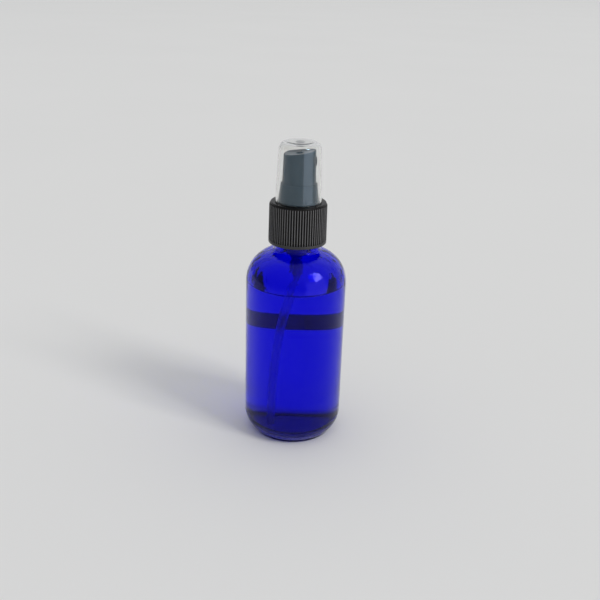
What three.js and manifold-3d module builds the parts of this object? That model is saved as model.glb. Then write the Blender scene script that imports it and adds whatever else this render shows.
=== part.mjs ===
// Perfume atomiser: a Boston round glass bottle with a screw-on fine-mist pump and a clear overcap.
// Millimetres, +Z up. The origin is on the bottle's axis, on the surface that its base rests on.
// The spray leaves towards +X.
import * as THREE from "three";
import { mergeVertices } from "three/addons/utils/BufferGeometryUtils.js";
import Module from "manifold-3d";

const wasm = await Module();
wasm.setup();

// ---------------------------------------------------------------- driving dimensions

// Bottle
const bottleRadius = 24.25;
const bottleHeight = 113.3; // base to rim
const glassWall = 3;
const baseThickness = 4.5; // under the inner floor, at the axis
const pushUpHeight = 1.2;
const heelInset = 5.85; // contact ring's outer edge inside the bottle's side
const contactRingWidth = 3.9;
const contactRingFillet = 1.2;
const heelRadius = 12.5;
const innerHeelRadius = 8;
const shoulderRadius = 15.8;
const neckFilletRadius = 2;
const innerNeckFilletRadius = 3;

// Neck finish (24-410)
const finishHeight = 16.4; // rim down to the neck fillet
const finishRadius = 10.75;
const neckBore = 7.2;
const rimRound = 0.7;
const threadHeight = 1.08; // crest above the finish
const threadRootWidth = 2;
const threadCrestWidth = 0.9;
const threadFade = 0.08; // of a turn, at each end
const threadPitch = 3.175;
const threadTurns = 1.5;
const threadSink = 0.5; // how far a thread rib is rooted in its wall
const threadDrop = 2; // rim down to the middle of the thread's upper end

// Label on the back of the bottle
const labelHeight = 8.5;
const labelMiddle = 52.8; // above the base
const labelHalfAngle = 27; // degrees each side of the back
const labelThickness = 0.1;
const labelGap = 0.06;

// Closure
const closureWall = 1.7; // thread root to the ribs
const closureHeight = 19.55;
const closurePlate = 1.45;
const threadClearance = 0.32; // finish's thread crest to the closure's thread root
const ribCount = 70;
const ribDepth = 0.4;
const plainLip = 0.9; // unribbed band at the bottom
const closureBevel = 0.6;
const closureThreadTurns = 1.25;
const crestClearance = 0.35; // closure's thread crest to the finish

// Stack on the rim
const stackGap = 0.05;
const gasketThickness = 1.2;
const gasketInset = 0.1; // its hole outside the neck's bore
const flangeThickness = 1.2;
const flangeClearance = 0.95; // to the closure's thread root

// Turret
const turretFlange = 1.5;
const turretFloor = 0.8; // floor above the flange's top
const hubHeight = 10.35; // flange top to hub top
const hubGrip = 1.43; // flange's edge to the hub's foot
const hubDraft = 1.21;
const hubWall = 0.44; // at the top
const hubRound = 0.3;
const hubClearance = 0.2; // to the closure's hole

// Pump housing
const chamberRadius = 3.9;
const chamberWall = 1.3;
const chamberDepth = 21; // flange's underside down to the cage
const cageGap = 0.45; // ball to the cage's wall
const cageGrip = 0.12; // lip over the ball
const cageLipHeight = 0.5;
const seatDepth = 1;
const socketStep = 0.8; // seat down to the tube's end stop
const socketLength = 6;
const socketWall = 1.1;
const stemGasketThickness = 0.8;
const stemGasketSeat = 1.1; // its width on the chamber's top

// Moving parts of the pump
const stroke = 4.8;
const stemRadius = 1.9;
const stemBore = 0.9;
const stemClearance = 0.06;
const guideClearance = 0.25; // stem to the turret's hole
const stemEngagement = 5; // stem length inside the actuator
const stemShoulderGap = 0.3; // to the chamber wall
const stemShoulderHeight = 1.4;
const stemNoseGap = 0.6; // to the spring
const stemNoseLength = 2;
const portRadius = 0.45;
const pistonHeight = 4.2;
const pistonClearance = 0.08;
const pistonLip = 0.9;
const pistonWaist = 0.8; // how far the waist is inside the lips
const pistonTopGap = 0.6; // below the stem gasket at rest
const ballRadius = 1.5;
const ballGap = 0.04; // to its seat
const springWire = 0.5;
const springTurns = 6.5;
const springGap = 0.3; // wire to the chamber wall, and to its end seats

// Dip tube
const tubeRadius = 1.8;
const tubeBore = 1.2;
const tubeClearance = 0.08;
const tubeWallGap = 4.85; // foot to the inner wall
const tubeFloorGap = 1.6; // foot to the inner floor
const tubeHeading = 232; // degrees round from +X
const tubeEndGap = 0.3; // to the socket's stop
const tubeSlant = 35; // degrees, of the cut at its foot

// Actuator
const actuatorClearance = 0.27; // to the hub
const actuatorDraft = 0.35;
const actuatorRise = 13.9; // hub top to the middle of the finger pad
const actuatorWall = 1.1;
const crownThickness = 2.4; // under the middle of the finger pad
const actuatorFloorGap = 0.35; // to the turret's floor at full stroke
const padSlope = 8.5; // degrees, high on the nozzle side
const padDishRadius = 36;
const dimpleRadius = 1.7;
const dimpleDepth = 0.45;
const socketBossWall = 1.5;
const channelRadius = 0.9;
const nozzleDrop = 3.6; // finger pad's middle down to the nozzle axis
const nozzleBossWall = 1.1;

// Spray insert
const insertRadius = 2.1;
const insertLength = 3.4;
const insertProud = 0.3;
const insertClearance = 0.08;
const insertRecess = 0.5;
const insertRecessRadius = 1.1;
const orificeRadius = 0.22;
const swirlRadius = 1.1;
const swirlDepth = 1.6;

// Overcap
const capHeadroom = 2.6; // over the finger pad's high side
const capClearance = 0.23; // to the hub's foot
const capDraft = 0.97;
const capWall = 0.85;
const capTopRound = 3;
const capGap = 0.06; // to the closure's top

// Facets round a full turn
const wideFacets = 40;
const midFacets = 32;
const smallFacets = 20;
const threadFacets = 24;
const wireFacets = 10;
const tubeFacets = 10;

// ---------------------------------------------------------------- sizes that follow from them

const innerRadius = bottleRadius - glassWall;
const contactRingOuter = bottleRadius - heelInset;
const contactRingInner = contactRingOuter - contactRingWidth;
const closureBore = finishRadius + threadHeight + threadClearance;
const closureRadius = closureBore + closureWall;
const closureThreadHeight = threadHeight + threadClearance - crestClearance;
const gasketInner = neckBore + gasketInset;
const flangeRadius = closureBore - flangeClearance;
const hubBaseRadius = flangeRadius - hubGrip;
const hubTopRadius = hubBaseRadius - hubDraft;
const hubInner = hubTopRadius - hubWall;
const cageRadius = ballRadius + cageGap;
const cageLip = ballRadius - cageGrip;
const cageDepth = ballRadius * 2;
const seatRadius = ballRadius / 1.5;
const stemGasketRadius = chamberRadius + stemGasketSeat;
const stemNoseRadius = chamberRadius - springGap - springWire - stemNoseGap;
const tubeLean = innerRadius - tubeRadius - tubeWallGap;
const actuatorBaseRadius = hubInner - actuatorClearance;
const actuatorTopRadius = actuatorBaseRadius - actuatorDraft;
const socketBossRadius = stemRadius + socketBossWall;
const capBaseRadius = hubBaseRadius + capClearance + capWall;
const capTopRadius = capBaseRadius - capDraft;

// ---------------------------------------------------------------- places that follow from them

const rimZ = bottleHeight;
const neckFootZ = rimZ - finishHeight;
const shoulderCentreR = bottleRadius - shoulderRadius;
const filletRise = Math.sqrt(
  (shoulderRadius + neckFilletRadius) ** 2 -
    (finishRadius + neckFilletRadius - shoulderCentreR) ** 2,
);
const shoulderZ = neckFootZ - filletRise;
const heelCentreR = bottleRadius - heelRadius;
const heelZ = Math.sqrt(heelRadius ** 2 - (contactRingOuter - heelCentreR) ** 2);

const gasketZ = rimZ + stackGap;
const housingFlangeZ = gasketZ + gasketThickness + stackGap;
const housingTopZ = housingFlangeZ + flangeThickness;
const stemGasketZ = housingTopZ + stackGap;
const turretZ = housingTopZ + stackGap;
const turretFlangeTopZ = turretZ + turretFlange;
const turretFloorZ = turretFlangeTopZ + turretFloor;
const hubTopZ = turretFlangeTopZ + hubHeight;
const closurePlateZ = turretFlangeTopZ + stackGap;
const closureTopZ = closurePlateZ + closurePlate;
const skirtZ = closureTopZ - closureHeight;
const closureHole = hubBaseRadius + hubClearance;

const cageTopZ = housingFlangeZ - chamberDepth;
const threadFootZ = rimZ - threadDrop - threadTurns * threadPitch;
const seatZ = cageTopZ - cageDepth;
const socketTopZ = seatZ - seatDepth - socketStep;
const socketFootZ = socketTopZ - socketLength;

const actuatorFootZ = turretFloorZ + stroke + actuatorFloorGap;
const padMiddleZ = hubTopZ + actuatorRise;
const nozzleZ = padMiddleZ - nozzleDrop;
const stemTopZ = actuatorFootZ + stemEngagement;
const pistonTopZ = housingTopZ - pistonTopGap;
const pistonFootZ = pistonTopZ - pistonHeight;
const stemFootZ = pistonFootZ - stackGap - stemShoulderHeight;

const springFootZ = cageTopZ + springGap;

const capFootZ = closureTopZ + capGap;
const padHighZ = padMiddleZ + actuatorTopRadius * Math.tan((padSlope * Math.PI) / 180) +
  actuatorTopRadius ** 2 / (2 * padDishRadius);
const capTopZ = padHighZ + capHeadroom + capWall;

// ---------------------------------------------------------------- helpers

const degrees = THREE.MathUtils.degToRad;

// Points of a circular arc in a profile, from one angle to another, both ends included.
function arc(r, z, radius, from, to, steps) {
  const points = [];
  for (let i = 0; i <= steps; i++) {
    const angle = degrees(from + ((to - from) * i) / steps);
    points.push([r + radius * Math.cos(angle), z + radius * Math.sin(angle)]);
  }
  return points;
}

// Leaves only welded positions, without the slivers that a profile on the axis makes.
function weld(geometry) {
  geometry.deleteAttribute("normal");
  geometry.deleteAttribute("uv");
  const merged = mergeVertices(geometry, 1e-4);
  const kept = [];
  const corners = merged.index.array;
  for (let i = 0; i < corners.length; i += 3) {
    const [a, b, c] = [corners[i], corners[i + 1], corners[i + 2]];
    if (a !== b && b !== c && c !== a) kept.push(a, b, c);
  }
  merged.setIndex(kept);
  return merged;
}

function solid(geometry) {
  const welded = weld(geometry);
  return new wasm.Manifold(
    new wasm.Mesh({
      numProp: 3,
      vertProperties: welded.attributes.position.array,
      triVerts: new Uint32Array(welded.index.array),
    }),
  );
}

function geometryOf(manifold) {
  const mesh = manifold.getMesh();
  const geometry = new THREE.BufferGeometry();
  geometry.setAttribute("position", new THREE.BufferAttribute(mesh.vertProperties, 3));
  geometry.setIndex(new THREE.BufferAttribute(mesh.triVerts, 1));
  return geometry;
}

// A solid turned about Z. The profile lists [radius, z], anticlockwise with the radius to the right.
function turned(profile, facets) {
  const points = profile.map(([r, z]) => new THREE.Vector2(r, z));
  return new THREE.LatheGeometry(points, facets).rotateX(Math.PI / 2);
}

// A turned tube or washer with square edges.
function ring(inner, outer, foot, top, facets) {
  const profile = [[inner, foot], [outer, foot], [outer, top], [inner, top], [inner, foot]];
  return turned(profile, facets);
}

function rod(radius, foot, top, facets) {
  return turned([[0, foot], [radius, foot], [radius, top], [0, top]], facets);
}

// Turns a rod that was made along Z so that it lies along X at a height.
function alongX(geometry, z) {
  return geometry.rotateY(Math.PI / 2).translate(0, 0, z);
}

// A right-hand thread rib: a straight bar wrapped round Z. It stands on rootR and reaches crestR,
// outwards or inwards, and its ends fade into the root.
function threadRib({ rootR, crestR, turns, footZ }) {
  const section = new THREE.Shape();
  section.moveTo(0, -threadRootWidth / 2);
  section.lineTo(1, -threadCrestWidth / 2);
  section.lineTo(1, threadCrestWidth / 2);
  section.lineTo(0, threadRootWidth / 2);
  section.closePath();
  const steps = Math.round(turns * threadFacets);
  const bar = new THREE.ExtrudeGeometry(section, { depth: turns, steps, bevelEnabled: false });
  const place = bar.attributes.position;
  for (let i = 0; i < place.count; i++) {
    const turn = place.getZ(i);
    const height = THREE.MathUtils.clamp(Math.min(turn, turns - turn) / threadFade, 0.02, 1);
    const radius = rootR + (crestR - rootR) * place.getX(i) * height;
    const along = crestR < rootR ? turn : turns - turn; // keeps the faces pointing out
    const angle = along * 2 * Math.PI;
    const z = footZ + threadPitch * along + place.getY(i);
    place.setXYZ(i, radius * Math.cos(angle), radius * Math.sin(angle), z);
  }
  return solid(bar);
}

const atomiser = new THREE.Group();

function addPart(name, geometry, color, roughness, metalness = 0) {
  const material = new THREE.MeshStandardMaterial({ color, roughness, metalness });
  const mesh = new THREE.Mesh(geometry, material);
  mesh.name = name;
  atomiser.add(mesh);
}

const blackPlastic = 0x16171a;
const naturalPlastic = 0xe6e6e2;

// ---------------------------------------------------------------- bottle

// Where an arc round the shoulder's centre meets a fillet that stands on a vertical neck wall.
function shoulderToNeck(radius, fillet, neckRadius) {
  const centreR = neckRadius + fillet;
  const angle = Math.acos((centreR - shoulderCentreR) / (radius + fillet));
  return {
    centreR,
    centreZ: shoulderZ + (radius + fillet) * Math.sin(angle),
    angle: THREE.MathUtils.radToDeg(angle),
  };
}

function bottle() {
  const outer = shoulderToNeck(shoulderRadius, neckFilletRadius, finishRadius);
  const innerShoulder = shoulderRadius - glassWall;
  const inner = shoulderToNeck(innerShoulder, innerNeckFilletRadius, neckBore);
  const heelStart = Math.asin((contactRingFillet - heelZ) / heelRadius);
  const heelFootR = heelCentreR + heelRadius * Math.cos(heelStart);
  const innerHeelZ = baseThickness + innerHeelRadius;
  const outside = [
    [0, pushUpHeight],
    [contactRingInner / 2, pushUpHeight * 0.8],
    [contactRingInner, 0],
    [heelFootR - contactRingFillet, 0],
    [heelFootR - contactRingFillet * 0.3, contactRingFillet * 0.3],
    ...arc(heelCentreR, heelZ, heelRadius, THREE.MathUtils.radToDeg(heelStart), 0, 6),
    ...arc(shoulderCentreR, shoulderZ, shoulderRadius, 0, outer.angle, 8),
    ...arc(outer.centreR, outer.centreZ, neckFilletRadius, 180 + outer.angle, 180, 3).slice(1),
    ...arc(finishRadius - rimRound, rimZ - rimRound, rimRound, 0, 90, 2),
  ];
  const inside = [
    ...arc(neckBore + rimRound, rimZ - rimRound, rimRound, 90, 180, 2),
    ...arc(inner.centreR, inner.centreZ, innerNeckFilletRadius, 180, 180 + inner.angle, 3),
    ...arc(shoulderCentreR, shoulderZ, innerShoulder, inner.angle, 0, 6).slice(1),
    ...arc(innerRadius - innerHeelRadius, innerHeelZ, innerHeelRadius, 0, -90, 4),
    [0, baseThickness],
  ];
  const glass = solid(turned([...outside, ...inside], wideFacets));
  const thread = threadRib({
    rootR: finishRadius - threadSink,
    crestR: finishRadius + threadHeight,
    turns: threadTurns,
    footZ: threadFootZ,
  });
  return geometryOf(glass.add(thread));
}

// A thin band on the back of the bottle, clear of the glass.
function rearLabel() {
  const inner = bottleRadius + labelGap;
  const from = degrees(90 - labelHalfAngle);
  const to = degrees(90 + labelHalfAngle);
  const band = new THREE.Shape();
  band.absarc(0, 0, inner + labelThickness, from, to, false);
  band.absarc(0, 0, inner, to, from, true);
  band.closePath();
  const options = { depth: labelHeight, bevelEnabled: false, curveSegments: 12 };
  return new THREE.ExtrudeGeometry(band, options).translate(0, 0, labelMiddle - labelHeight / 2);
}

addPart("bottle", bottle(), 0x0a14c8, 0.05);
addPart("rear_label", rearLabel(), 0x1c1c24, 0.6);

// ---------------------------------------------------------------- closure

// V grooves cut between the ribs, from above the plain lip to above the top.
function ribGrooves() {
  const grooves = [];
  const outer = closureRadius + ribDepth;
  const halfWidth = (Math.PI * closureRadius * 0.9) / ribCount;
  for (let i = 0; i < ribCount; i++) {
    const angle = ((i + 0.5) * 2 * Math.PI) / ribCount;
    const corner = (r, side) =>
      new THREE.Vector2(r, side).rotateAround(new THREE.Vector2(), angle);
    grooves.push(
      new THREE.Shape([
        corner(closureRadius - ribDepth, 0),
        corner(outer, -halfWidth),
        corner(outer, halfWidth),
      ]),
    );
  }
  const options = { depth: closureHeight, bevelEnabled: false };
  return new THREE.ExtrudeGeometry(grooves, options).translate(0, 0, skirtZ + plainLip);
}

function closure() {
  const profile = [
    [closureBore, skirtZ],
    [closureRadius - 0.2, skirtZ],
    [closureRadius, skirtZ + 0.2],
    [closureRadius, closureTopZ - closureBevel],
    [closureRadius - closureBevel, closureTopZ],
    [closureHole, closureTopZ],
    [closureHole, closurePlateZ],
    [closureBore, closurePlateZ],
    [closureBore, skirtZ],
  ];
  const thread = threadRib({
    rootR: closureBore + threadSink,
    crestR: closureBore - closureThreadHeight,
    turns: closureThreadTurns,
    footZ: threadFootZ - threadPitch / 2,
  });
  const shell = solid(turned(profile, ribCount)).subtract(solid(ribGrooves()));
  return geometryOf(shell.add(thread));
}

addPart("closure", closure(), blackPlastic, 0.45);

// ---------------------------------------------------------------- turret and seals

function turret() {
  const hole = stemRadius + guideClearance;
  const recess = stemGasketRadius + stackGap;
  const recessZ = stemGasketZ + stemGasketThickness + stackGap;
  return turned(
    [
      [hole, recessZ],
      [recess, recessZ],
      [recess, turretZ],
      [flangeRadius, turretZ],
      [flangeRadius, turretFlangeTopZ],
      [hubBaseRadius, turretFlangeTopZ],
      [hubTopRadius, hubTopZ - hubRound],
      [hubTopRadius - hubRound, hubTopZ],
      [hubInner, hubTopZ],
      [hubInner, turretFloorZ],
      [hole, turretFloorZ],
      [hole, recessZ],
    ],
    wideFacets,
  );
}

const neckGasket = ring(gasketInner, finishRadius, gasketZ, gasketZ + gasketThickness, midFacets);
const stemSeal = ring(
  stemRadius + stemClearance,
  stemGasketRadius,
  stemGasketZ,
  stemGasketZ + stemGasketThickness,
  smallFacets,
);

addPart("turret", turret(), blackPlastic, 0.35);
addPart("neck_gasket", neckGasket, 0xf2f2ee, 0.7);
addPart("stem_gasket", stemSeal, 0xf2f2ee, 0.6);

// ---------------------------------------------------------------- pump

function pumpHousing() {
  const tubeHole = tubeRadius + tubeClearance;
  const socketOuter = tubeHole + socketWall;
  const chamberOuter = chamberRadius + chamberWall;
  return turned(
    [
      [tubeHole, socketFootZ],
      [socketOuter, socketFootZ],
      [socketOuter, seatZ],
      [chamberOuter, cageTopZ],
      [chamberOuter, housingFlangeZ],
      [flangeRadius, housingFlangeZ],
      [flangeRadius, housingTopZ],
      [chamberRadius, housingTopZ],
      [chamberRadius, cageTopZ],
      [cageLip, cageTopZ],
      [cageLip, cageTopZ - cageLipHeight],
      [cageRadius, cageTopZ - cageLipHeight],
      [cageRadius, seatZ],
      [seatRadius, seatZ - seatDepth],
      [seatRadius, socketTopZ],
      [tubeHole, socketTopZ],
      [tubeHole, socketFootZ],
    ],
    midFacets,
  );
}

// The ball rests on the cone between the cage wall and the seat's bore.
function inletBall() {
  const slope = (cageRadius - seatRadius) / seatDepth;
  const reach = (ballRadius + ballGap) * Math.hypot(1, slope) - seatRadius;
  const ball = new THREE.SphereGeometry(ballRadius, 16, 10).rotateX(Math.PI / 2);
  return ball.translate(0, 0, seatZ - seatDepth + reach / slope);
}

function stem() {
  const boreFootZ = pistonFootZ + pistonHeight / 2 - portRadius;
  const shoulderR = chamberRadius - stemShoulderGap;
  const body = turned(
    [
      [0, stemFootZ - stemNoseLength],
      [stemNoseRadius, stemFootZ - stemNoseLength],
      [stemNoseRadius, stemFootZ],
      [shoulderR, stemFootZ],
      [shoulderR, stemFootZ + stemShoulderHeight],
      [stemRadius, stemFootZ + stemShoulderHeight],
      [stemRadius, stemTopZ],
      [stemBore, stemTopZ],
      [stemBore, boreFootZ],
      [0, boreFootZ],
    ],
    smallFacets,
  );
  const cutter = rod(portRadius, -2 * stemRadius, 2 * stemRadius, wireFacets);
  const port = alongX(cutter, pistonFootZ + pistonHeight / 2);
  return geometryOf(solid(body).subtract(solid(port)));
}

function piston() {
  const inner = stemRadius + stemClearance;
  const outer = chamberRadius - pistonClearance;
  const waist = outer - pistonWaist;
  return turned(
    [
      [inner, pistonFootZ],
      [outer, pistonFootZ],
      [outer, pistonFootZ + pistonLip],
      [waist, pistonFootZ + pistonLip],
      [waist, pistonTopZ - pistonLip],
      [outer, pistonTopZ - pistonLip],
      [outer, pistonTopZ],
      [inner, pistonTopZ],
      [inner, pistonFootZ],
    ],
    midFacets,
  );
}

class Helix extends THREE.Curve {
  constructor(radius, footZ, topZ, turns) {
    super();
    Object.assign(this, { radius, footZ, topZ, turns });
  }

  getPoint(t, target = new THREE.Vector3()) {
    const angle = t * this.turns * 2 * Math.PI;
    const z = THREE.MathUtils.lerp(this.footZ, this.topZ, t);
    return target.set(this.radius * Math.cos(angle), this.radius * Math.sin(angle), z);
  }
}

function circleShape(radius, points) {
  const corners = [];
  for (let i = 0; i < points; i++) {
    const angle = (i * 2 * Math.PI) / points;
    corners.push(new THREE.Vector2(radius * Math.cos(angle), radius * Math.sin(angle)));
  }
  return new THREE.Shape(corners);
}

function mainSpring() {
  const wire = springWire / 2;
  const radius = chamberRadius - springGap - wire;
  const path = new Helix(radius, springFootZ + wire, stemFootZ - springGap - wire, springTurns);
  const steps = Math.round(springTurns * wireFacets);
  const options = { steps, bevelEnabled: false, extrudePath: path };
  return new THREE.ExtrudeGeometry(circleShape(wire, 6), options);
}

// Straight in its socket, then bowed towards the wall; its foot is cut at a slant.
function dipTube() {
  const footZ = baseThickness + tubeFloorGap;
  const heading = degrees(tubeHeading);
  const bendZ = socketFootZ - tubeRadius;
  const points = [
    new THREE.Vector3(0, 0, socketTopZ - tubeEndGap),
    new THREE.Vector3(0, 0, socketFootZ + tubeRadius),
    new THREE.Vector3(0, 0, socketFootZ),
    new THREE.Vector3(0, 0, bendZ),
  ];
  for (const drop of [0.07, 0.15, 0.27, 0.42, 0.6, 0.8, 1]) {
    const lean = tubeLean * (1 - (1 - drop) ** 2.6);
    const z = THREE.MathUtils.lerp(bendZ, footZ, drop);
    points.push(new THREE.Vector3(lean * Math.cos(heading), lean * Math.sin(heading), z));
  }
  const section = circleShape(tubeRadius, tubeFacets);
  section.holes.push(circleShape(tubeBore, tubeFacets));
  const path = new THREE.CatmullRomCurve3(points, false, "centripetal");
  const options = { steps: 22, bevelEnabled: false, extrudePath: path };
  const tube = new THREE.ExtrudeGeometry(section, options);
  const foot = points.at(-1);
  const slant = new THREE.BoxGeometry(8, 8, 4);
  slant.translate(0, 0, -2).rotateY(degrees(tubeSlant)).translate(foot.x, foot.y, foot.z + 1);
  return geometryOf(solid(tube).subtract(solid(slant)));
}

addPart("pump_housing", pumpHousing(), naturalPlastic, 0.4);
addPart("inlet_ball", inletBall(), 0xc8ccd0, 0.15, 1);
addPart("stem", stem(), naturalPlastic, 0.4);
addPart("piston", piston(), 0xf4f4f0, 0.5);
addPart("main_spring", mainSpring(), 0xb4b6b8, 0.3, 1);
addPart("dip_tube", dipTube(), 0xe8ecf0, 0.35);

// ---------------------------------------------------------------- actuator and insert

function actuatorRadiusAt(z) {
  const rise = (z - hubTopZ) / (padMiddleZ - hubTopZ);
  return THREE.MathUtils.lerp(actuatorBaseRadius, actuatorTopRadius, Math.max(rise, 0));
}

const insertTipX = actuatorRadiusAt(nozzleZ) + insertProud;
const insertSeatX = insertTipX - insertLength;

// The tool that hollows the finger pad: a shallow bowl with a dimple at its middle, tilted.
function padCutter() {
  const wide = actuatorBaseRadius * 1.5;
  const bowl = (r) => padDishRadius - Math.sqrt(padDishRadius ** 2 - r ** 2);
  const profile = [
    [0, -dimpleDepth],
    [dimpleRadius * 0.6, -dimpleDepth * 0.75],
    [dimpleRadius, bowl(dimpleRadius)],
  ];
  for (const share of [0.3, 0.5, 0.7, 0.85, 1]) {
    profile.push([wide * share, bowl(wide * share)]);
  }
  profile.push([wide, wide], [0, wide]);
  return turned(profile, midFacets).rotateY(degrees(-padSlope)).translate(0, 0, padMiddleZ);
}

function actuator() {
  const crownZ = padMiddleZ - crownThickness;
  const topZ = padMiddleZ + actuatorTopRadius;
  const wallAt = (z) => actuatorRadiusAt(z) - actuatorWall;
  const shell = turned(
    [
      [wallAt(hubTopZ), actuatorFootZ],
      [actuatorBaseRadius, actuatorFootZ],
      [actuatorBaseRadius, hubTopZ],
      [actuatorRadiusAt(topZ), topZ],
      [0, topZ],
      [0, crownZ],
      [wallAt(crownZ), crownZ],
      [wallAt(hubTopZ), hubTopZ],
      [wallAt(hubTopZ), actuatorFootZ],
    ],
    wideFacets,
  );
  const insertHole = insertRadius + insertClearance;
  const bossRadius = insertHole + nozzleBossWall;
  const bossEnd = wallAt(nozzleZ) + actuatorWall / 2;
  const socketBoss = rod(socketBossRadius, actuatorFootZ, crownZ + crownThickness / 2, smallFacets);
  const nozzleBoss = alongX(rod(bossRadius, 0, bossEnd, smallFacets), nozzleZ);
  const socket = rod(stemRadius + stemClearance, 0, stemTopZ + stackGap, smallFacets);
  const riser = rod(channelRadius, 0, nozzleZ + channelRadius / 2, tubeFacets);
  const channel = alongX(rod(channelRadius, 0, insertSeatX, tubeFacets), nozzleZ);
  const insertBore = alongX(
    rod(insertHole, insertSeatX - insertClearance, 2 * actuatorBaseRadius, smallFacets),
    nozzleZ,
  );
  let body = solid(shell).add(solid(socketBoss)).add(solid(nozzleBoss));
  for (const cut of [padCutter(), socket, riser, channel, insertBore]) {
    body = body.subtract(solid(cut));
  }
  return geometryOf(body);
}

function sprayInsert() {
  const length = insertLength;
  const profile = [
    [swirlRadius, 0],
    [insertRadius, 0],
    [insertRadius, length - 0.2],
    [insertRadius - 0.2, length],
    [insertRecessRadius, length],
    [orificeRadius, length - insertRecess],
    [orificeRadius, swirlDepth],
    [swirlRadius, swirlDepth],
    [swirlRadius, 0],
  ];
  return alongX(turned(profile, smallFacets).translate(0, 0, insertSeatX), nozzleZ);
}

addPart("actuator", actuator(), blackPlastic, 0.35);
addPart("spray_insert", sprayInsert(), blackPlastic, 0.3);

// ---------------------------------------------------------------- overcap

function overcap() {
  const roundR = capTopRadius - capTopRound;
  const roundZ = capTopZ - capTopRound;
  return turned(
    [
      [capBaseRadius - capWall, capFootZ],
      [capBaseRadius, capFootZ],
      ...arc(roundR, roundZ, capTopRound, 0, 90, 5),
      [0, capTopZ],
      [0, capTopZ - capWall],
      ...arc(roundR, roundZ, capTopRound - capWall, 90, 0, 4),
      [capBaseRadius - capWall, capFootZ],
    ],
    wideFacets,
  );
}

addPart("overcap", overcap(), 0xdfe4e8, 0.1);

export default atomiser;
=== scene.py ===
"""Perfume atomiser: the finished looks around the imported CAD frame.

Sizes inside the mesh helpers are millimetres; every object is written in metres, in the CAD frame.
"""

import bpy
import math
from mathutils import Matrix, Vector


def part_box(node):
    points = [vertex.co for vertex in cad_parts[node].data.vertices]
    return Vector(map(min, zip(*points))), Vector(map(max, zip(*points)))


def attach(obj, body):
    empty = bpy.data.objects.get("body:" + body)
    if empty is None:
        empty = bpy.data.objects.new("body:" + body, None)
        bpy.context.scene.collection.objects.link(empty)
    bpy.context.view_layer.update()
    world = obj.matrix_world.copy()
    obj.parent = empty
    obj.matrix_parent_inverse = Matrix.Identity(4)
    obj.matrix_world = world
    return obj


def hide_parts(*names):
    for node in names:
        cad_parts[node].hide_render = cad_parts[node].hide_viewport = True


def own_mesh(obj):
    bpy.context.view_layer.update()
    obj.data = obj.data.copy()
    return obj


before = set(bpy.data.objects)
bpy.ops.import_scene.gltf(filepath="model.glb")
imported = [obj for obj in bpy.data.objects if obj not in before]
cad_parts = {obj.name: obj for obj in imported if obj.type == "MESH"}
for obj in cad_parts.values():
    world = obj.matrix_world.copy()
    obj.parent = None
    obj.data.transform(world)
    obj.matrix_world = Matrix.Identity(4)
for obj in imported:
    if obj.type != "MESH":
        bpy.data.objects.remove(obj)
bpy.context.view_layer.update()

MM = 0.001


# ---------------------------------------------------------------- sizes taken from the frame

def foot(node):
    """A node's lowest height."""
    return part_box(node)[0].z / MM


def head(node):
    """A node's highest height."""
    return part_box(node)[1].z / MM


def reach(node):
    """A turned node's largest radius."""
    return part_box(node)[1].x / MM


body_radius = reach("bottle")
rim_z = head("bottle")
closure_radius = reach("closure")
skirt_z = foot("closure")
closure_top_z = head("closure")
flange_radius = reach("pump_housing")
hub_top_z = head("turret")
turret_z = foot("turret")
housing_top_z = head("pump_housing")
socket_z = foot("pump_housing")
actuator_foot_z = foot("actuator")
cap_foot_z = foot("overcap")
cap_top_z = head("overcap")
cap_radius = reach("overcap")
label_low, label_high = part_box("rear_label")
nozzle_z = (foot("spray_insert") + head("spray_insert")) / 2
nozzle_tip_x = reach("spray_insert")

# ---------------------------------------------------------------- sizes of the bottle's glass

WALL = 3.0
BASE_THICKNESS = 4.5
FLOOR_CROWN = 0.5
PUSH_UP = 1.2
RING_INNER = 14.5
RING_OUTER = 17.6
RING_ROUND = 1.0
FOOT_ROUND = 1.5
HEEL_RADIUS = 12.5
INNER_HEEL_RADIUS = 8.0
SHOULDER_RADIUS = 15.8
SHOULDER_CENTRE = body_radius - SHOULDER_RADIUS
FINISH_HEIGHT = 16.4
FINISH_RADIUS = 10.75
NECK_FILLET = 2.0
INNER_NECK_FILLET = 5.5
NECK_BORE = 7.2
RIM_EDGE = 0.9
THREAD_HEIGHT = 1.08
THREAD_PITCH = 3.175
THREAD_TURNS = 1.5
THREAD_DROP = 2.0
THREAD_HALF_WIDTH = 1.05
THREAD_FLANK = 0.6
THREAD_RUN_OUT = 0.08
LIQUID_Z = 78.6
MENISCUS = 1.1
LABEL_GAP = 0.03
LABEL_THICKNESS = 0.1
LABEL_CORNER = 1.2

shoulder_z = rim_z - FINISH_HEIGHT - math.sqrt(
    (SHOULDER_RADIUS + NECK_FILLET) ** 2 - (FINISH_RADIUS + NECK_FILLET - SHOULDER_CENTRE) ** 2
)
thread_foot_z = rim_z - THREAD_DROP - THREAD_TURNS * THREAD_PITCH


# ---------------------------------------------------------------- mesh helpers

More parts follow.
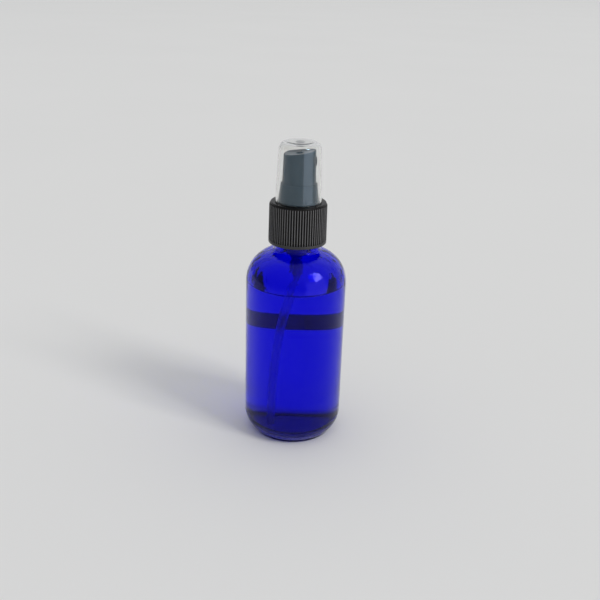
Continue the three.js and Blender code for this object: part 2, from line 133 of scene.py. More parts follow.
def fillet(corners, steps=5, closed=False):
    """A profile of (radius, z) points from corners of (radius, z, round): each round corner is an arc."""
    points = []
    count = len(corners)
    for i, (r, z, size) in enumerate(corners):
        if size <= 0 or (not closed and i in (0, count - 1)):
            points.append((r, z))
            continue
        here = Vector((r, z))
        back = Vector(corners[i - 1][:2]) - here
        on = Vector(corners[(i + 1) % count][:2]) - here
        half = back.angle(on) / 2
        trim = min(size / math.tan(half), back.length * 0.49, on.length * 0.49)
        radius = trim * math.tan(half)
        back.normalize()
        on.normalize()
        middle = here + (back + on).normalized() * (radius / math.sin(half))
        start = here + back * trim - middle
        turn = math.pi - 2 * half
        if start.x * (on * trim + here - middle).y - start.y * (on * trim + here - middle).x < 0:
            turn = -turn
        for k in range(steps + 1):
            a = turn * k / steps
            spot = Vector((
                start.x * math.cos(a) - start.y * math.sin(a),
                start.x * math.sin(a) + start.y * math.cos(a),
            ))
            points.append(tuple(middle + spot))
    return points


def arc(r, z, radius, start, end, steps):
    """Points of a circular arc in a profile, between two angles in degrees."""
    points = []
    for k in range(steps + 1):
        a = math.radians(start + (end - start) * k / steps)
        points.append((r + radius * math.cos(a), z + radius * math.sin(a)))
    return points


def add_mesh(name, verts, faces):
    """A smooth-shaded object from millimetre vertices."""
    mesh = bpy.data.meshes.new(name)
    mesh.from_pydata([(x * MM, y * MM, z * MM) for x, y, z in verts], [], faces)
    mesh.validate()
    mesh.update()
    mesh.polygons.foreach_set("use_smooth", [True] * len(mesh.polygons))
    piece = bpy.data.objects.new(name, mesh)
    bpy.context.scene.collection.objects.link(piece)
    return piece


def weight_normals(piece):
    """Keeps flats flat beside small rounds: each corner takes its largest faces' direction."""
    modifier = piece.modifiers.new("flat faces", "WEIGHTED_NORMAL")
    modifier.weight = 60
    modifier.keep_sharp = True


def turned(name, profile, closed=False, steps=96, shape=None):
    """Turns a profile round Z. It runs anticlockwise with the radius to the right, so faces look out.
    Ends at radius 0 become single points. shape(r, z, angle, index) may move a point's radius and z."""
    verts, rings = [], []
    for i, (r, z) in enumerate(profile):
        if r < 1e-6:
            rings.append([len(verts)])
            verts.append((0.0, 0.0, z))
            continue
        ring = []
        for k in range(steps):
            a = 2 * math.pi * k / steps
            rr, zz = shape(r, z, a, i) if shape else (r, z)
            ring.append(len(verts))
            verts.append((rr * math.cos(a), rr * math.sin(a), zz))
        rings.append(ring)
    faces = []
    pairs = list(zip(rings, rings[1:]))
    if closed:
        pairs.append((rings[-1], rings[0]))
    for lower, upper in pairs:
        for k in range(steps):
            n = (k + 1) % steps
            if len(lower) == 1 and len(upper) == 1:
                continue
            if len(lower) == 1:
                faces.append((lower[0], upper[n], upper[k]))
            elif len(upper) == 1:
                faces.append((lower[k], lower[n], upper[0]))
            else:
                faces.append((lower[k], lower[n], upper[n], upper[k]))
    return add_mesh(name, verts, faces)


def swept(name, path, section):
    """Sweeps a section, a list of (across, up) offsets, along a list of points, with flat ends."""
    verts, faces = [], []
    count = len(section)
    side = None
    for i, point in enumerate(path):
        ahead = path[min(i + 1, len(path) - 1)] - path[max(i - 1, 0)]
        ahead.normalize()
        if side is None:
            side = ahead.orthogonal().normalized()
        side = (side - ahead * side.dot(ahead)).normalized()
        up = ahead.cross(side)
        for across, rise in section:
            verts.append(tuple(point + side * across + up * rise))
    for i in range(len(path) - 1):
        for k in range(count):
            n = (k + 1) % count
            a, b = i * count, (i + 1) * count
            faces.append((a + k, a + n, b + n, b + k))
    faces.append(tuple(range(count - 1, -1, -1)))
    faces.append(tuple((len(path) - 1) * count + k for k in range(count)))
    return add_mesh(name, verts, faces)


def finish_piece(piece, body, slot, material, *nodes):
    """Gives a piece its material and body, and lets it stand for CAD nodes."""
    piece.data.materials.append(material)
    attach(piece, body)
    if nodes:
        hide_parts(*nodes)
    return piece


# ---------------------------------------------------------------- materials

def new_material(name):
    """A material with its nodes, links and shader."""
    material = bpy.data.materials.new(name)
    material.use_nodes = True
    nodes = material.node_tree.nodes
    shader = nodes["Principled BSDF"]
    return material, nodes, material.node_tree.links, shader


def noise(nodes, links, scale, detail=3.0, stretch=(1, 1, 1)):
    """A noise texture in object space; scale is in cells per metre."""
    place = nodes.new("ShaderNodeTexCoord")
    mapping = nodes.new("ShaderNodeMapping")
    mapping.inputs["Scale"].default_value = stretch
    texture = nodes.new("ShaderNodeTexNoise")
    texture.inputs["Scale"].default_value = scale
    texture.inputs["Detail"].default_value = detail
    links.new(place.outputs["Object"], mapping.inputs["Vector"])
    links.new(mapping.outputs["Vector"], texture.inputs["Vector"])
    return texture.outputs["Fac"]


def ramp(nodes, links, source, low, high):
    """Maps 0.3..0.7 of a noise to a range of plain values."""
    node = nodes.new("ShaderNodeMapRange")
    node.inputs["From Min"].default_value = 0.3
    node.inputs["From Max"].default_value = 0.7
    node.inputs["To Min"].default_value = low
    node.inputs["To Max"].default_value = high
    links.new(source, node.inputs["Value"])
    return node.outputs["Result"]


def tint(nodes, links, source, low, high):
    """Maps a noise to a colour between two."""
    node = nodes.new("ShaderNodeMix")
    node.data_type = "RGBA"
    node.inputs["A"].default_value = (*low, 1)
    node.inputs["B"].default_value = (*high, 1)
    links.new(source, node.inputs["Factor"])
    return node.outputs["Result"]


def bump(nodes, links, shader, source, depth, strength=1.0):
    """Raises a surface by a pattern; depth is in metres."""
    node = nodes.new("ShaderNodeBump")
    node.inputs["Strength"].default_value = strength
    node.inputs["Distance"].default_value = depth
    links.new(source, node.inputs["Height"])
    links.new(node.outputs["Normal"], shader.inputs["Normal"])


def plastic(name, low, high, rough, grain, depth, specular=0.5):
    """Moulded plastic: slight colour and gloss variation, and a fine skin."""
    material, nodes, links, shader = new_material(name)
    broad = noise(nodes, links, 120, 4)
    fine = noise(nodes, links, grain, 2)
    links.new(tint(nodes, links, broad, low, high), shader.inputs["Base Color"])
    links.new(ramp(nodes, links, broad, *rough), shader.inputs["Roughness"])
    shader.inputs["Specular IOR Level"].default_value = specular
    bump(nodes, links, shader, fine, depth)
    return material


def ribbed_black():
    """The closure's black plastic. Its ribs' crests are painted a dull grey as a painted highlight, and
    its plain lip is painted part way to that grey.
    """
    material, nodes, links, shader = new_material("closure_black")
    broad = noise(nodes, links, 120, 4)
    black = tint(nodes, links, broad, (0.0015, 0.0015, 0.0016), (0.003, 0.003, 0.0033))
    grey = tint(nodes, links, broad, (0.15, 0.15, 0.155), (0.2, 0.2, 0.205))
    # Painted highlight: the face value 'crest' mixes the black towards the grey, fully on the rib crests
    # and in part on the lip
    face = nodes.new("ShaderNodeAttribute")
    face.attribute_name = "crest"
    to_painted_grey = nodes.new("ShaderNodeMapRange")
    to_painted_grey.inputs["From Min"].default_value = 0.8
    to_painted_grey.inputs["From Max"].default_value = 1.0
    links.new(face.outputs["Fac"], to_painted_grey.inputs["Value"])
    mix = nodes.new("ShaderNodeMix")
    mix.data_type = "RGBA"
    links.new(to_painted_grey.outputs["Result"], mix.inputs["Factor"])
    links.new(black, mix.inputs["A"])
    links.new(grey, mix.inputs["B"])
    links.new(mix.outputs["Result"], shader.inputs["Base Color"])
    links.new(ramp(nodes, links, broad, 0.24, 0.34), shader.inputs["Roughness"])
    shader.inputs["Specular IOR Level"].default_value = 0.16
    bump(nodes, links, shader, noise(nodes, links, 6000, 2), 0.000002)
    return material


def metal(name, colour, rough, grain):
    """Drawn or rolled steel, with fine marks along Z."""
    material, nodes, links, shader = new_material(name)
    shader.inputs["Base Color"].default_value = (*colour, 1)
    shader.inputs["Metallic"].default_value = 1
    fine = noise(nodes, links, grain, 3, (1, 1, 6))
    links.new(ramp(nodes, links, fine, *rough), shader.inputs["Roughness"])
    bump(nodes, links, shader, fine, 0.00001)
    return material


GLASS_IOR = 1.52
LIQUID_IOR = 1.36
PLASTIC_IOR = 1.5
# The liquid's top bends light only a little, so that the label isn't seen a second time through it
SURFACE_IOR = 1.03
# Below this height the glass shows the floor that it stands on, instead of mirroring the wall above
FOOT_TOP = 1.6
FOOT_IOR = 1.05


def ior_by_face(nodes, links, shader):
    """Takes the IOR from the piece's own face values, as written by set_ior."""
    face = nodes.new("ShaderNodeAttribute")
    face.attribute_name = "ior"
    links.new(face.outputs["Fac"], shader.inputs["IOR"])


def set_ior(piece, ior_at):
    """Writes each face's IOR: what is on its far side, air or liquid, sets it."""
    values = piece.data.attributes.new("ior", "FLOAT", "FACE")
    values.data.foreach_set("value", [ior_at(p.center / MM) for p in piece.data.polygons])


def waves(nodes, links, shader):
    """Blown glass is almost flat on the side and wavy on the shoulder."""
    wave = noise(nodes, links, 150, 2, (1, 1, 0.8))
    blend = 8
    place = nodes.new("ShaderNodeTexCoord")
    parts = nodes.new("ShaderNodeSeparateXYZ")
    links.new(place.outputs["Object"], parts.inputs["Vector"])
    height = nodes.new("ShaderNodeMapRange")
    height.interpolation_type = "SMOOTHSTEP"
    height.inputs["From Min"].default_value = (LIQUID_Z - blend) * MM
    height.inputs["From Max"].default_value = (LIQUID_Z + blend) * MM
    height.inputs["To Min"].default_value = 0.06
    height.inputs["To Max"].default_value = 1.0
    links.new(parts.outputs["Z"], height.inputs["Value"])
    node = nodes.new("ShaderNodeBump")
    node.inputs["Distance"].default_value = 0.0006
    links.new(height.outputs["Result"], node.inputs["Strength"])
    links.new(wave, node.inputs["Height"])
    links.new(node.outputs["Normal"], shader.inputs["Normal"])


def blue_glass():
    """Cobalt glass: its colour is in its depth, so thick glass is darker than thin."""
    material, nodes, links, shader = new_material("blue_glass")
    shader.inputs["Base Color"].default_value = (1, 1, 1, 1)
    shader.inputs["Transmission Weight"].default_value = 1
    ior_by_face(nodes, links, shader)
    shader.inputs["Roughness"].default_value = 0.0
    shader.inputs["Specular Tint"].default_value = (0.28, 0.26, 1.0, 1)
    waves(nodes, links, shader)
    body = nodes.new("ShaderNodeVolumeAbsorption")
    body.inputs["Color"].default_value = (0.06, 0.0, 0.976, 1)
    body.inputs["Density"].default_value = 1300
    links.new(body.outputs["Volume"], nodes["Material Output"].inputs["Volume"])
    return material


def clear_liquid():
    """Water-clear, with hardly a ripple."""
    material, nodes, links, shader = new_material("liquid")
    shader.inputs["Base Color"].default_value = (1, 1, 1, 1)
    shader.inputs["Transmission Weight"].default_value = 1
    ior_by_face(nodes, links, shader)
    shader.inputs["Roughness"].default_value = 0.0
    wave = noise(nodes, links, 60, 1)
    bump(nodes, links, shader, wave, 0.0001, 0.1)
    return material


def milky(name, colour, clear, ior, rough, depth=0.00001):
    """Natural, unpigmented plastic: part of the light passes and part is scattered."""
    material, nodes, links, shader = new_material(name)
    broad = noise(nodes, links, 90, 3)
    links.new(tint(nodes, links, broad, colour, tuple(min(1, c * 1.04) for c in colour)),
              shader.inputs["Base Color"])
    shader.inputs["Transmission Weight"].default_value = clear
    shader.inputs["IOR"].default_value = ior
    links.new(ramp(nodes, links, broad, *rough), shader.inputs["Roughness"])
    if depth:
        bump(nodes, links, shader, noise(nodes, links, 700, 2), depth)
    return material


cobalt = blue_glass()
liquid_clear = clear_liquid()
closure_black = ribbed_black()
# smooth_black: the parts are black; their blue-grey tint is a painted reflection, standing in for the sky
# and haze seen on them through the clear overcap
smooth_black = plastic("smooth_black", (0.004, 0.024, 0.044), (0.008, 0.032, 0.054),
                       (0.14, 0.18), 5000, 0.000001, 0.2)
insert_black = plastic("insert_black", (0.005, 0.005, 0.006), (0.009, 0.009, 0.01),
                       (0.2, 0.3), 2200, 0.00001)
natural = milky("natural_plastic", (0.88, 0.88, 0.86), 0.6, PLASTIC_IOR, (0.3, 0.42))
piston_white = milky("piston_plastic", (0.9, 0.9, 0.88), 0.05, PLASTIC_IOR, (0.35, 0.5))
tube_clear = milky("tube_plastic", (0.96, 0.98, 1.0), 0.92, PLASTIC_IOR, (0.42, 0.5))
ior_by_face(tube_clear.node_tree.nodes, tube_clear.node_tree.links,
            tube_clear.node_tree.nodes["Principled BSDF"])
cap_clear = milky("clear_plastic", (0.93, 0.935, 0.93), 0.985, PLASTIC_IOR, (0.02, 0.04), 0)
cap_shader = cap_clear.node_tree.nodes["Principled BSDF"]
cap_shader.inputs["Specular IOR Level"].default_value = 0.2
cap_shader.inputs["Specular Tint"].default_value = (0.6, 0.82, 1.0, 1)
foam = plastic("gasket_foam", (0.8, 0.8, 0.77), (0.9, 0.9, 0.87), (0.7, 0.85), 1500, 0.00012)
label_paper = plastic("label_paper", (0.3, 0.31, 0.36), (0.35, 0.36, 0.41),
                      (0.5, 0.62), 3000, 0.00002)
spring_steel = metal("spring_steel", (0.62, 0.63, 0.65), (0.18, 0.32), 900)
ball_steel = metal("ball_steel", (0.8, 0.81, 0.83), (0.05, 0.09), 500)


# ---------------------------------------------------------------- bottle and liquid

def shoulder_to_neck(radius, size, neck):
    """Centre and angle of a fillet between an arc round the shoulder's centre and a vertical wall."""
    r = neck + size
    angle = math.acos((r - SHOULDER_CENTRE) / (radius + size))
    return r, shoulder_z + (radius + size) * math.sin(angle), math.degrees(angle)


def thread_rise(z, angle, low_z, turns):
    """Height, from 0 to 1, of a right-hand thread rib at a place on the wall."""
    best = 0.0
    for lap in range(int(turns) + 1):
        turn = angle / (2 * math.pi) + lap
        if turn > turns:
            continue
        away = abs(z - low_z - THREAD_PITCH * turn)
        side = max(0.0, min(1.0, (THREAD_HALF_WIDTH - away) / THREAD_FLANK))
        ends = max(0.0, min(1.0, min(turn, turns - turn) / THREAD_RUN_OUT))
        best = max(best, side * side * (3 - 2 * side) * ends)
    return best


def cavity_profile():
    """The cavity's wall from the axis at the floor up to the liquid's edge."""
    wall = body_radius - WALL
    heel_z = BASE_THICKNESS + INNER_HEEL_RADIUS
    radius = SHOULDER_RADIUS - WALL
    edge = math.degrees(math.asin((LIQUID_Z + MENISCUS - shoulder_z) / radius))
    return [
        (0, BASE_THICKNESS + FLOOR_CROWN),
        (5, BASE_THICKNESS + FLOOR_CROWN * 0.7),
        (9, BASE_THICKNESS + FLOOR_CROWN * 0.2),
        *arc(wall - INNER_HEEL_RADIUS, heel_z, INNER_HEEL_RADIUS, -90, 0, 16),
        *[(wall, heel_z + (shoulder_z - heel_z) * k / 8) for k in range(1, 8)],
        *arc(SHOULDER_CENTRE, shoulder_z, radius, 0, edge, 10),
    ]


def build_bottle():
    """One glass body: outside from the base to the rim, then inside from the rim to the floor."""
    r, z, angle = shoulder_to_neck(SHOULDER_RADIUS, NECK_FILLET, FINISH_RADIUS)
    heel_foot_r = RING_OUTER + 0.9
    heel_foot_z = 1.3
    heel_r = body_radius - HEEL_RADIUS
    heel_z = math.sqrt(HEEL_RADIUS ** 2 - (heel_foot_r - heel_r) ** 2)
    heel_angle = math.degrees(math.asin((heel_foot_z - heel_z) / HEEL_RADIUS))
    foot_r = heel_r + HEEL_RADIUS * math.cos(math.radians(heel_angle)) - 1.35
    neck_rows = 64
    edge_z = rim_z - RIM_EDGE
    outside = [
        (0, PUSH_UP),
        (RING_INNER * 0.4, PUSH_UP * 0.9),
        (RING_INNER * 0.8, PUSH_UP * 0.45),
        *arc(RING_INNER, RING_ROUND, RING_ROUND, -120, -90, 3),
        *arc(foot_r, FOOT_ROUND, FOOT_ROUND, -90, heel_angle, 5),
        *arc(heel_r, heel_z, HEEL_RADIUS, heel_angle, 0, 22)[1:],
        *[(body_radius, heel_z + (shoulder_z - heel_z) * k / 10) for k in range(1, 10)],
        *arc(SHOULDER_CENTRE, shoulder_z, SHOULDER_RADIUS, 0, angle, 26),
        *arc(r, z, NECK_FILLET, 180 + angle, 180, 7)[1:],
    ]
    first_neck = len(outside)
    outside += [(FINISH_RADIUS, z + (edge_z - z) * k / neck_rows) for k in range(1, neck_rows + 1)]
    last_neck = len(outside) - 1
    inner_radius = SHOULDER_RADIUS - WALL
    ri, zi, inner_angle = shoulder_to_neck(inner_radius, INNER_NECK_FILLET, NECK_BORE)
    wet = cavity_profile()
    dry_start = math.degrees(math.asin((LIQUID_Z + MENISCUS - shoulder_z) / inner_radius))
    rim = [
        *arc(FINISH_RADIUS - RIM_EDGE, edge_z, RIM_EDGE, 0, 90, 6)[1:],
        *arc(NECK_BORE + RIM_EDGE, edge_z, RIM_EDGE, 90, 180, 6),
        *[(NECK_BORE, edge_z + (zi - edge_z) * k / 6) for k in range(1, 6)],
        *arc(ri, zi, INNER_NECK_FILLET, 180, 180 + inner_angle, 10),
        *arc(SHOULDER_CENTRE, shoulder_z, inner_radius, inner_angle, dry_start, 8)[1:-1],
    ]
    profile = [*outside, *rim, *reversed(wet)]

    def shape(radius, height, a, i):
        if first_neck <= i <= last_neck:
            radius += THREAD_HEIGHT * thread_rise(height, a, thread_foot_z, THREAD_TURNS)
        return radius, height

    bottle = turned("bottle_glass", profile, steps=144, shape=shape)
    wet_floor = BASE_THICKNESS - 0.1
    heel = INNER_HEEL_RADIUS

    def ior_at(at):
        if at.z < FOOT_TOP:
            return FOOT_IOR
        radius = math.hypot(at.x, at.y)
        corner = math.hypot(radius - (body_radius - WALL - heel), min(at.z - wet_floor - heel, 0))
        inside = radius < body_radius - WALL - heel or corner < heel + 0.6
        level = wet_floor < at.z < LIQUID_Z + MENISCUS and radius < body_radius - WALL + 0.5
        return GLASS_IOR / LIQUID_IOR if level and inside else GLASS_IOR

    set_ior(bottle, ior_at)
    return finish_piece(bottle, "bottle", "blue_glass", cobalt, "bottle")


def build_liquid():
    """The liquid, a hair inside the glass, with a meniscus round its top."""
    skin = 0.02
    floor_reach = 14
    wall = [(max(r - skin, 0), z + (skin if r < floor_reach else 0)) for r, z in cavity_profile()]
    edge_r, edge_z = wall[-1]
    creep, creep_scale = 3.2, 0.8
    top = []
    for k in range(1, 9):
        inward = creep * k / 8
        top.append((edge_r - inward, LIQUID_Z + (edge_z - LIQUID_Z) * math.exp(-inward / creep_scale)))
    profile = [*wall, *top, (edge_r * 0.5, LIQUID_Z), (0, LIQUID_Z)]
    liquid = turned("liquid", profile, steps=144)

    def ior_at(at):
        top = LIQUID_Z - 0.01 < at.z < edge_z and math.hypot(at.x, at.y) < edge_r - 0.1
        return SURFACE_IOR if top else 1.0

    set_ior(liquid, ior_at)
    return finish_piece(liquid, "bottle", "blue_glass", liquid_clear)


def build_label():
    """A thin band on the back of the bottle, with rounded corners."""
    middle_z = (label_low.z + label_high.z) / 2 / MM
    half_height = (label_high.z - label_low.z) / 2 / MM
    inner = body_radius + LABEL_GAP
    outer = inner + LABEL_THICKNESS
    half_angle = math.asin(label_high.x / label_high.y)
    round_size = LABEL_CORNER
    columns = 60
    verts, faces = [], []
    for k in range(columns + 1):
        share = -1 + 2 * k / columns
        side = half_angle * share
        from_end = (1 - abs(share)) * half_angle * body_radius
        trim = 0.0
        if from_end < round_size:
            trim = round_size - math.sqrt(max(round_size ** 2 - (round_size - from_end) ** 2, 0))
        tall = half_height - trim
        for radius, up in ((inner, -tall), (outer, -tall), (outer, tall), (inner, tall)):
            verts.append((-radius * math.sin(side), radius * math.cos(side), middle_z + up))
    for k in range(columns):
        a, b = 4 * k, 4 * (k + 1)
        for j in range(4):
            n = (j + 1) % 4
            faces.append((a + j, b + j, b + n, a + n))
    faces.append((0, 1, 2, 3))
    faces.append(tuple(4 * columns + j for j in (3, 2, 1, 0)))
    label = add_mesh("rear_label_strip", verts, faces)
    label.data.polygons.foreach_set("use_smooth", [False] * len(label.data.polygons))
    return finish_piece(label, "bottle", "label", label_paper, "rear_label")


# ---------------------------------------------------------------- closure

RIBS = 70
RIB_HEIGHT = 0.5
RIB_SHARE = 0.72
RIB_RUN_OUT = 0.9
RIB_TOP_GAP = 0.7
LIP_HEIGHT = 1.5
LIP_INSET = 0.02
# How far the plain lip is painted towards the ribs' painted highlight grey
LIP_GREY_SHARE = 0.86
CLOSURE_DRAFT = 0.2
CLOSURE_BORE = 12.15
CLOSURE_THREAD_TURNS = 1.25
CLOSURE_THREAD_GAP = 0.05
CLOSURE_PLATE = 1.45
CLOSURE_HOLE = 9.97


def rib_rise(angle):
    """Across one rib and its groove, from 0 in the groove to 1 on the crest."""
    share = angle * RIBS / (2 * math.pi) % 1
    away = abs(share - 0.5) * 2
    return math.sqrt(max(0.0, 1 - (away / RIB_SHARE) ** 2))


def build_closure():
    """The screw closure: a plain lip, ribs, a top plate with a hole, and a thread inside."""
    height = closure_top_z - skirt_z
    lip_top = skirt_z + LIP_HEIGHT
    rib_top = closure_top_z - RIB_TOP_GAP
    base_r = closure_radius - RIB_HEIGHT

    def wall_r(z):
        return base_r - CLOSURE_DRAFT * (z - skirt_z) / height

    rows = [lip_top + 0.02 + (rib_top - lip_top) * k / 10 for k in range(0, 10)]
    tips = [rib_top - RIB_RUN_OUT * (1 - math.sin(math.radians(t))) for t in (0, 20, 40, 60, 75, 90)]
    outer = [(wall_r(z), z) for z in rows if z < rib_top - 1.0] + [(wall_r(z), z) for z in tips]
    lip = fillet([
        (CLOSURE_BORE, skirt_z, 0),
        (closure_radius - LIP_INSET, skirt_z, 0.25),
        (closure_radius - LIP_INSET, lip_top, 0.15),
        (wall_r(lip_top), lip_top, 0),
    ], 4)[1:-1]
    top = fillet([
        (wall_r(rib_top), rib_top, 0),
        (wall_r(closure_top_z), closure_top_z, 0.45),
        (CLOSURE_HOLE, closure_top_z, 0.2),
        (CLOSURE_HOLE, closure_top_z - CLOSURE_PLATE, 0.1),
        (CLOSURE_BORE, closure_top_z - CLOSURE_PLATE, 0.4),
        (CLOSURE_BORE, closure_top_z - CLOSURE_PLATE - 1.5, 0),
    ], 4)[1:]
    thread_rows = 44
    inside_high = top[-1][1]
    inside = [(CLOSURE_BORE, inside_high + (skirt_z + 0.5 - inside_high) * k / thread_rows)
              for k in range(1, thread_rows + 1)]
    profile = [(CLOSURE_BORE + 0.25, skirt_z), *lip, *outer, *top, *inside]
    first_rib = 1 + len(lip)
    last_rib = first_rib + len(outer) - 1
    first_inside = last_rib + 1 + len(top)
    low_z = thread_foot_z - THREAD_PITCH / 2

    def shape(r, z, a, i):
        if first_rib <= i <= last_rib:
            over = max(0.0, z - rib_top + RIB_RUN_OUT) / RIB_RUN_OUT
            r += RIB_HEIGHT * rib_rise(a) * math.sqrt(max(0.0, 1 - over * over))
        elif i >= first_inside:
            r -= (THREAD_HEIGHT - CLOSURE_THREAD_GAP) * thread_rise(z, a, low_z, CLOSURE_THREAD_TURNS)
        return r, z

    # Painted highlight: the share of painted grey is full on the rib crests, follows each rib's rise, and
    # on the lip is the lip's set share
    def painted_grey_share(i, a):
        if i < first_rib:
            return LIP_GREY_SHARE
        return rib_rise(a) if i <= last_rib - 3 else 0.0

    steps = RIBS * 10
    closure = turned("ribbed_closure", profile, closed=True, steps=steps, shape=shape)
    crests = closure.data.attributes.new("crest", "FLOAT", "POINT")
    crests.data.foreach_set("value", [
        painted_grey_share(i, 2 * math.pi * k / steps) for i in range(len(profile)) for k in range(steps)
    ])
    return finish_piece(closure, "closure", "closure_plastic", closure_black, "closure")


# ---------------------------------------------------------------- pump pieces

HUB_BASE = 9.77
HUB_TOP = 8.56
HUB_INNER = 8.12
HUB_FLANGE = 1.5
HUB_FLOOR = 0.8
GASKET_SEAT_RADIUS = 5.05
GASKET_SEAT_DEPTH = 0.85
CHAMBER = 3.9
CHAMBER_WALL = 1.3
CHAMBER_DEPTH = 21
CHAMBER_FLANGE = 1.2
CONE_HEIGHT = 3
INLET_DEPTH = 1.8
SOCKET_BORE = 1.88
SOCKET_WALL = 1.1
BALL_STOP_RADIUS = 1.38
BALL_SPACE_RADIUS = 1.95
INLET_RADIUS = 1.0
STEM_RADIUS = 1.9
STEM_HOLE = 2.15
STEM_BORE = 0.9
STEM_BORE_FLOOR = 5.2
STEM_NOSE = 2.5
STEM_NOSE_HEIGHT = 2
STEM_COLLAR_HEIGHT = 3.4
PISTON_GAP = 0.08
PISTON_LIP = 0.8
SLIDE_GAP = 0.06
NECK_WASHER_BORE = 7.3
STEM_WASHER_RADIUS = 5.0
SPRING_RADIUS = 3.35
SPRING_WIRE = 0.25
SPRING_TURNS = 6.5
SPRING_STEPS = 280


def build_turret():
    """The collar that the closure holds down, with the hub that carries the button and the overcap."""
    seat_z = turret_z + GASKET_SEAT_DEPTH
    flange_top = turret_z + HUB_FLANGE
    floor_z = flange_top + HUB_FLOOR
    profile = fillet([
        (STEM_HOLE, seat_z, 0.1),
        (GASKET_SEAT_RADIUS, seat_z, 0.1),
        (GASKET_SEAT_RADIUS, turret_z, 0.1),
        (flange_radius, turret_z, 0.2),
        (flange_radius, flange_top, 0.2),
        (HUB_BASE, flange_top, 0.15),
        (HUB_TOP, hub_top_z, 0.14),
        (HUB_INNER, hub_top_z, 0.08),
        (HUB_INNER, floor_z, 0.4),
        (STEM_HOLE, floor_z, 0.15),
    ], 5, closed=True)
    turret = turned("turret_collar", profile, closed=True, steps=128)
    weight_normals(turret)
    return finish_piece(turret, "pump", "turret_plastic", smooth_black, "turret")


def build_housing():
    """The pump's chamber: a flange, a bore, a seat for the ball and a socket for the dip tube."""
    flange_z = housing_top_z - CHAMBER_FLANGE
    cage_top = flange_z - CHAMBER_DEPTH
    seat_z = cage_top - CONE_HEIGHT
    socket_top = seat_z - INLET_DEPTH
    outer = CHAMBER + CHAMBER_WALL
    profile = fillet([
        (SOCKET_BORE, socket_z, 0.15),
        (SOCKET_BORE + SOCKET_WALL, socket_z, 0.25),
        (SOCKET_BORE + SOCKET_WALL, seat_z, 0.5),
        (outer, cage_top, 0.8),
        (outer, flange_z, 0.3),
        (flange_radius, flange_z, 0.15),
        (flange_radius, housing_top_z, 0.15),
        (CHAMBER, housing_top_z, 0.3),
        (CHAMBER, cage_top, 0.3),
        (BALL_STOP_RADIUS, cage_top, 0.1),
        (BALL_STOP_RADIUS, cage_top - 0.5, 0.1),
        (BALL_SPACE_RADIUS, cage_top - 0.6, 0.1),
        (BALL_SPACE_RADIUS, seat_z, 0.15),
        (INLET_RADIUS, seat_z - 1, 0.1),
        (INLET_RADIUS, socket_top, 0.05),
        (SOCKET_BORE, socket_top, 0.1),
    ], 4, closed=True)
    housing = turned("pump_body", profile, closed=True, steps=72)
    weight_normals(housing)
    return finish_piece(housing, "pump", "natural_plastic", natural, "pump_housing")


def washer(name, node, bore, radius, edge, steps):
    """A flat foam ring with soft edges, as tall as its node."""
    low, high = foot(node), head(node)
    corners = [(bore, low, edge), (radius, low, edge), (radius, high, edge), (bore, high, edge)]
    piece = turned(name, fillet(corners, 3, closed=True), closed=True, steps=steps)
    return finish_piece(piece, "pump", "gasket", foam, node)


def build_washers():
    """One washer seals the bottle's rim, the other seals the stem."""
    washer("neck_washer", "neck_gasket", NECK_WASHER_BORE, FINISH_RADIUS, 0.2, 72)
    washer("stem_washer", "stem_gasket", STEM_RADIUS + SLIDE_GAP, STEM_WASHER_RADIUS, 0.15, 48)


def build_stem():
    """The hollow stem: a nose that stands in the spring, a collar under the piston and a shaft."""
    low, top = foot("stem"), head("stem")
    collar = CHAMBER - 0.3
    nose_z = low + STEM_NOSE_HEIGHT
    collar_z = low + STEM_COLLAR_HEIGHT
    profile = fillet([
        (0, low, 0),
        (STEM_NOSE, low, 0.3),
        (STEM_NOSE, nose_z, 0.1),
        (collar, nose_z, 0.15),
        (collar, collar_z, 0.15),
        (STEM_RADIUS, collar_z, 0.1),
        (STEM_RADIUS, top, 0.3),
        (STEM_BORE, top, 0.2),
        (STEM_BORE, low + STEM_BORE_FLOOR, 0.3),
        (0, low + STEM_BORE_FLOOR, 0),
    ], 4)
    stem = turned("pump_stem", profile, steps=48)
    weight_normals(stem)
    return finish_piece(stem, "plunger", "natural_plastic", natural, "stem")


def build_piston():
    """The piston: a lip at each end wipes the chamber, with a waist between."""
    low, high = foot("piston"), head("piston")
    bore = STEM_RADIUS + SLIDE_GAP
    outer = CHAMBER - PISTON_GAP
    waist = outer - PISTON_LIP
    profile = fillet([
        (bore, low, 0.1),
        (outer, low, 0.15),
        (outer, low + 0.9, 0.3),
        (waist, low + 1.3, 0.4),
        (waist, high - 1.3, 0.4),
        (outer, high - 0.9, 0.3),
        (outer, high, 0.15),
        (outer - 0.5, high, 0.15),
        (waist - 0.3, high - 0.7, 0.3),
        (bore, high - 0.7, 0.1),
    ], 3, closed=True)
    piston = turned("pump_piston", profile, closed=True, steps=48)
    weight_normals(piston)
    return finish_piece(piston, "plunger", "piston_plastic", piston_white, "piston")


def build_spring():
    """The return spring, a plain coil as long as its node; in the pump it shortens as the button goes
    down.
    """
    low, high = foot("main_spring"), head("main_spring")
    path = []
    for k in range(SPRING_STEPS + 1):
        share = k / SPRING_STEPS
        a = SPRING_TURNS * 2 * math.pi * share
        rise = low + SPRING_WIRE + (high - low - 2 * SPRING_WIRE) * share
        path.append(Vector((SPRING_RADIUS * math.cos(a), SPRING_RADIUS * math.sin(a), rise)))
    section = arc(0, 0, SPRING_WIRE, 0, 324, 9)
    spring = swept("return_spring", path, section)
    finish_piece(spring, "pump", "spring_steel", spring_steel, "main_spring")
    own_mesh(spring)
    return spring


def build_ball():
    """The check ball, its poles on the node's lowest and highest points."""
    low, high = foot("inlet_ball"), head("inlet_ball")
    radius = (high - low) / 2
    profile = arc(0, (low + high) / 2, radius, -90, 90, 24)
    profile[0], profile[-1] = (0, low), (0, high)
    ball = turned("check_ball", profile, steps=48)
    return finish_piece(ball, "ball", "ball_steel", ball_steel, "inlet_ball")


